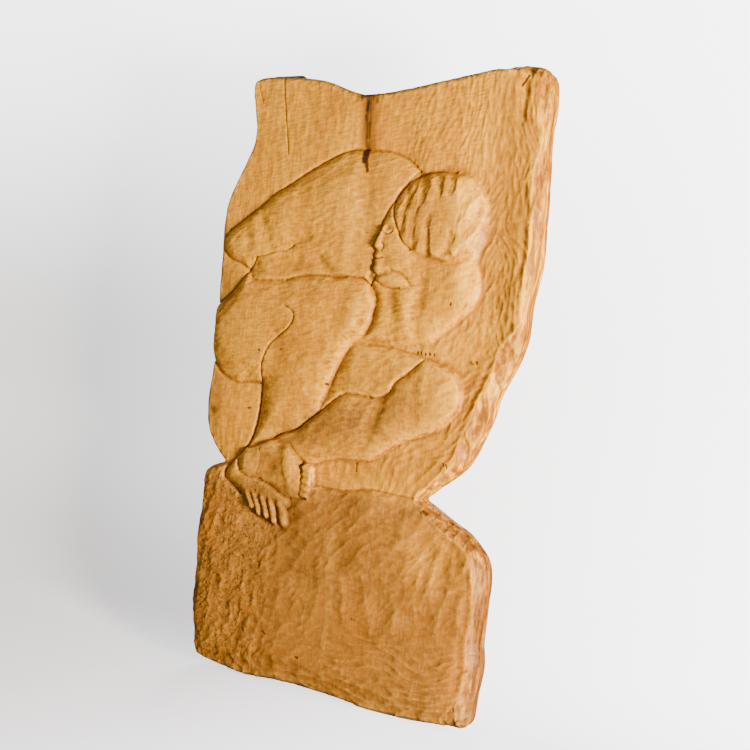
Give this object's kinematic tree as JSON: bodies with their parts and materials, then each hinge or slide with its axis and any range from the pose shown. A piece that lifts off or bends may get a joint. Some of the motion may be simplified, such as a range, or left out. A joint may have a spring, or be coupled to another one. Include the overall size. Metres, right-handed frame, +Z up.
{
  "type": "carved wall panel",
  "caption": "Upright limewood slab with an irregular edge, carved in low relief with a crouching figure above a plain block, flat at the back.",
  "frame": {"origin": "on the flat back, in the middle of the slab", "axes": "+Z up along the slab, +Y out of the back into the wall, the carved front faces -Y"},
  "size_m": [0.7295, 0.065, 1.2535],
  "materials": {
    "limewood": "gouge-cut wood, thinly waxed, satin",
    "black_iron": "matt black",
    "screw_steel": "plain steel"
  },
  "bodies": {
    "root": {"carved_panel": "limewood", "hanging_plate": "black_iron", "plate_screw_left": "screw_steel", "plate_screw_right": "screw_steel"}
  },
  "joints": []
}
